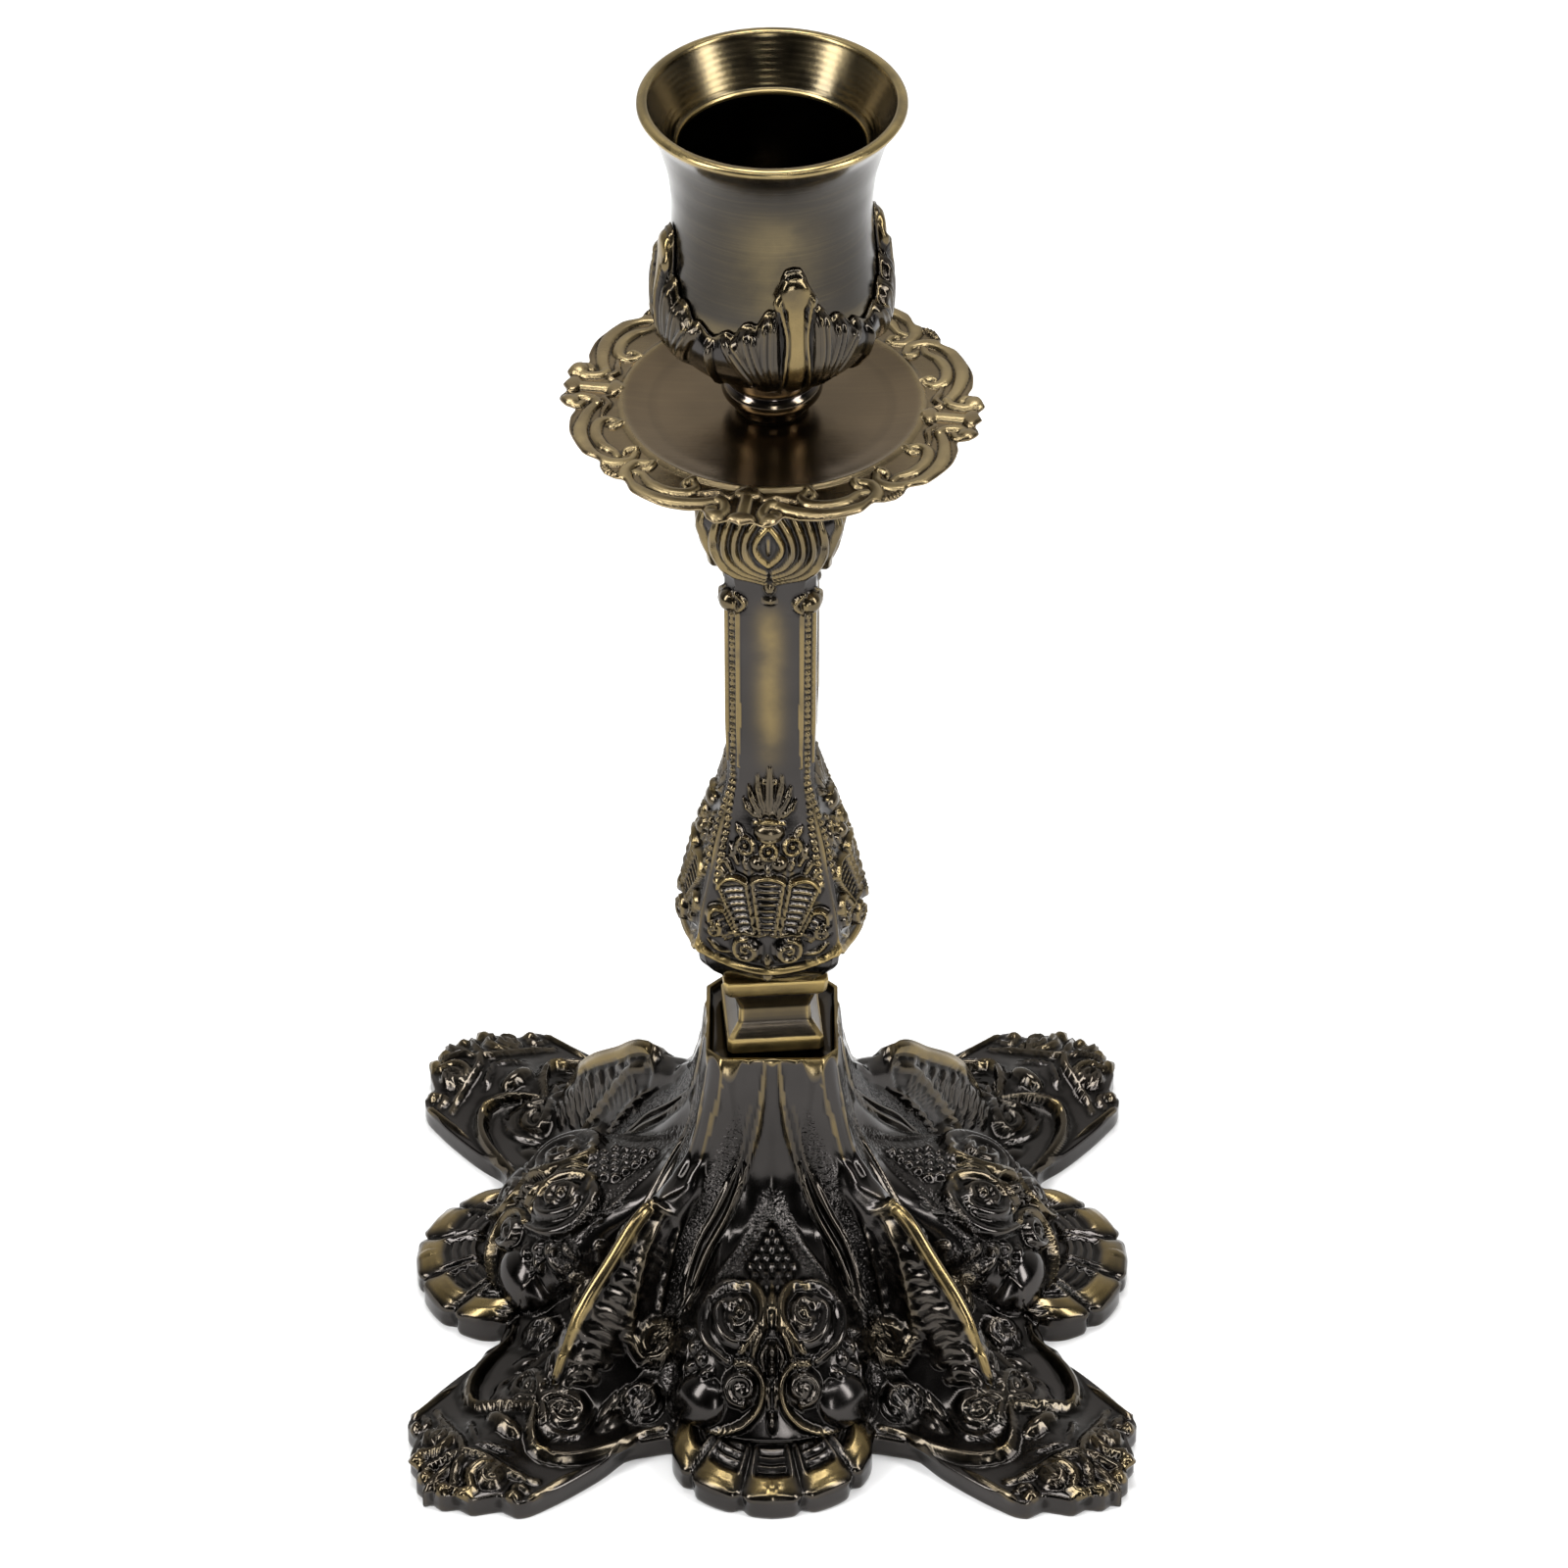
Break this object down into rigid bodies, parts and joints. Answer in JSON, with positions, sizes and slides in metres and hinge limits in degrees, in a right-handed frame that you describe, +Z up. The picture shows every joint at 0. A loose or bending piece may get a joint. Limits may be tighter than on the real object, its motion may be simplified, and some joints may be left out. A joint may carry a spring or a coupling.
{
  "type": "candlestick",
  "caption": "Single square-plan candlestick with a hollow relief-cast base, spool, baluster stem, scalloped drip pan, leaf calyx and flared candle cup on one tie rod.",
  "frame": {"origin": "on the table plane, under the middle of the base", "axes": "+Z up along the tie rod; +X and +Y square to the sides of the base"},
  "size_m": [0.093, 0.093, 0.1832],
  "materials": {
    "dark_casting": "near-black antique plating, glossy, brass showing on the high edges",
    "relief_casting": "antique brass, dark in the hollows and rubbed bright on the relief",
    "old_brass": "satin olive brass",
    "brushed_pan": "brushed olive brass with a pale rubbed rim",
    "polished_collar": "polished black bronze",
    "brushed_cup": "brushed gunmetal brass, turned bright inside the mouth",
    "zinc_steel": "zinc-plated fixings"
  },
  "bodies": {
    "root": {"base_casting": "dark_casting", "neck_spool": "old_brass", "stem_baluster": "relief_casting", "drip_pan": "brushed_pan", "cup_collar": "polished_collar", "leaf_calyx": "relief_casting", "candle_cup": "brushed_cup", "tie_rod": "zinc_steel", "base_washer": "zinc_steel", "lock_washer": "zinc_steel", "base_nut": "zinc_steel", "cup_washer": "zinc_steel", "cup_nut": "zinc_steel"}
  },
  "joints": []
}
